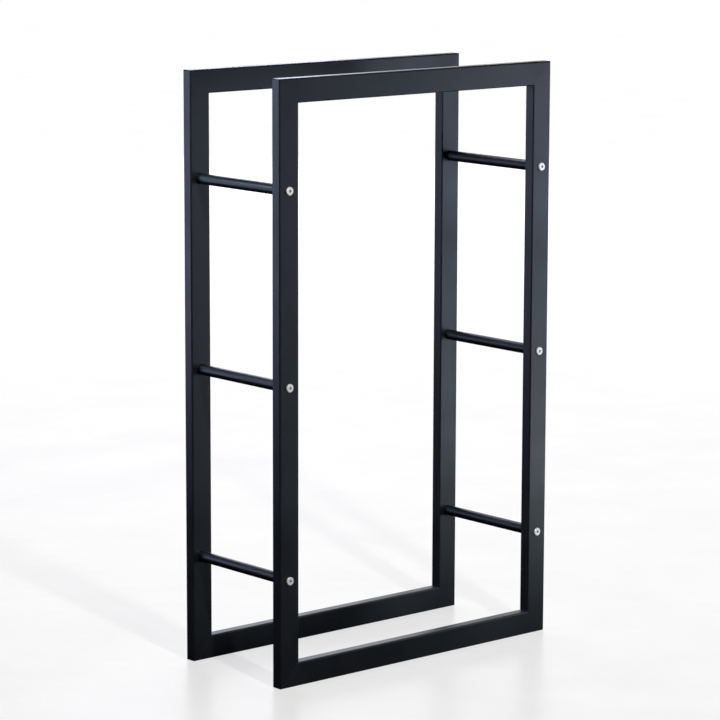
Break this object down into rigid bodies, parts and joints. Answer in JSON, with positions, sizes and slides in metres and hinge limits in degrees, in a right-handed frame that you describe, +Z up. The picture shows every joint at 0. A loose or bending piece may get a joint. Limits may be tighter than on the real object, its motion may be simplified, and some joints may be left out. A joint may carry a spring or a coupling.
{
  "type": "firewood log rack",
  "caption": "Tall open firewood rack: two upright black rectangular tube frames joined by round crossbars with silver screws.",
  "frame": {"origin": "floor level, under the middle of the rack, half way between the two frames", "axes": "+Z up along the stiles; +Y to the rear, along the crossbars; +X to the right of a person facing the front frame, along the rails"},
  "size_m": [0.6, 0.255, 1],
  "materials": {
    "frame_coat": "matt black powder coat with a fine texture and a slightly blue tint",
    "crossbar_coat": "matt black powder coat, slightly smoother than the frames",
    "screw_zinc": "bright zinc-plated steel, lightly turned",
    "insert_steel": "plain turned steel"
  },
  "bodies": {
    "root": {"front_bottom_rail": "frame_coat", "front_left_stile": "frame_coat", "front_top_rail": "frame_coat", "front_right_stile": "frame_coat", "rear_bottom_rail": "frame_coat", "rear_left_stile": "frame_coat", "rear_top_rail": "frame_coat", "rear_right_stile": "frame_coat", "left_lower_crossbar": "crossbar_coat", "front_left_lower_insert": "insert_steel", "front_left_lower_screw": "screw_zinc", "rear_left_lower_insert": "insert_steel", "rear_left_lower_screw": "screw_zinc", "left_middle_crossbar": "crossbar_coat", "front_left_middle_insert": "insert_steel", "front_left_middle_screw": "screw_zinc", "rear_left_middle_insert": "insert_steel", "rear_left_middle_screw": "screw_zinc", "left_upper_crossbar": "crossbar_coat", "front_left_upper_insert": "insert_steel", "front_left_upper_screw": "screw_zinc", "rear_left_upper_insert": "insert_steel", "rear_left_upper_screw": "screw_zinc", "right_lower_crossbar": "crossbar_coat", "front_right_lower_insert": "insert_steel", "front_right_lower_screw": "screw_zinc", "rear_right_lower_insert": "insert_steel", "rear_right_lower_screw": "screw_zinc", "right_middle_crossbar": "crossbar_coat", "front_right_middle_insert": "insert_steel", "front_right_middle_screw": "screw_zinc", "rear_right_middle_insert": "insert_steel", "rear_right_middle_screw": "screw_zinc", "right_upper_crossbar": "crossbar_coat", "front_right_upper_insert": "insert_steel", "front_right_upper_screw": "screw_zinc", "rear_right_upper_insert": "insert_steel", "rear_right_upper_screw": "screw_zinc"}
  },
  "joints": []
}
